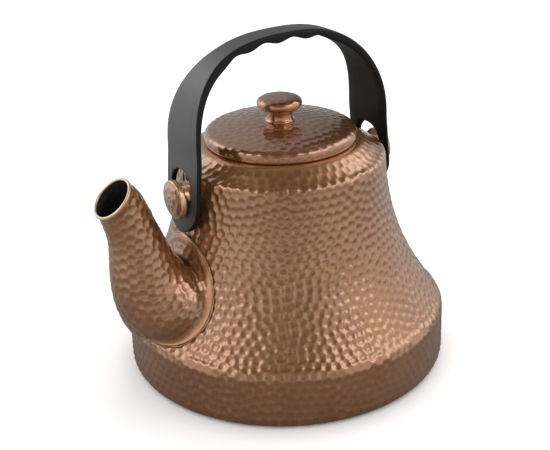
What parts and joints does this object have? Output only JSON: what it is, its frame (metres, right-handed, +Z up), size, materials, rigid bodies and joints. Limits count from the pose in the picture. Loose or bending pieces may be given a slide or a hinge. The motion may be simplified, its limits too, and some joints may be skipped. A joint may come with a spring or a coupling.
{
  "type": "kettle",
  "caption": "Hammered copper kettle, bell-shaped with a wide foot band, curved spout, lift-off knobbed lid and a black arched strap handle hooked over side studs.",
  "frame": {"origin": "centre of the base's flat underside, on the resting plane", "axes": "+Z up along the body's axis; -X towards the spout; the handle arch stands in the XZ plane"},
  "size_m": [0.2126, 0.19, 0.199],
  "materials": {
    "copper_body": "hammered, satin-gloss copper",
    "copper_base": "smooth copper",
    "copper_inside": "dark smooth copper",
    "copper_rim": "pale worn copper",
    "copper_lid": "lightly hammered, glossy copper",
    "copper_stud": "hammered face, smooth edge",
    "solder": "dull solder",
    "fastener_steel": "plain steel",
    "seal_rubber": "matt rubber",
    "handle_black": "satin black moulded plastic"
  },
  "bodies": {
    "kettle_body": {"body_shell": "copper_body", "base_plate": "copper_base", "base_solder_bead": "solder", "neck_collar": "copper_inside", "spout": "copper_body", "spout_lip_bead": "copper_rim", "spout_solder_seam": "solder", "front_stud": "copper_stud", "rear_stud": "copper_stud", "front_stud_boss": "copper_stud", "rear_stud_boss": "copper_stud", "front_stud_washer": "seal_rubber", "rear_stud_washer": "seal_rubber", "front_stud_nut": "fastener_steel", "rear_stud_nut": "fastener_steel"},
    "lid": {"lid_cap": "copper_lid", "lid_skirt": "copper_inside", "lid_knob": "copper_lid", "knob_washer": "fastener_steel", "knob_screw": "fastener_steel"},
    "carry_handle": {"handle": "handle_black"}
  },
  "joints": [
    {"name": "handle_swing", "type": "hinge", "parent": "kettle_body", "child": "carry_handle", "pos_m": [0, 0, 0.1155], "axis": [1, 0, 0], "range_deg": [-70, 70]},
    {"name": "lid_lift", "type": "slide", "parent": "kettle_body", "child": "lid", "axis": [0, 0, 1], "range_m": [0, 0.025]}
  ]
}
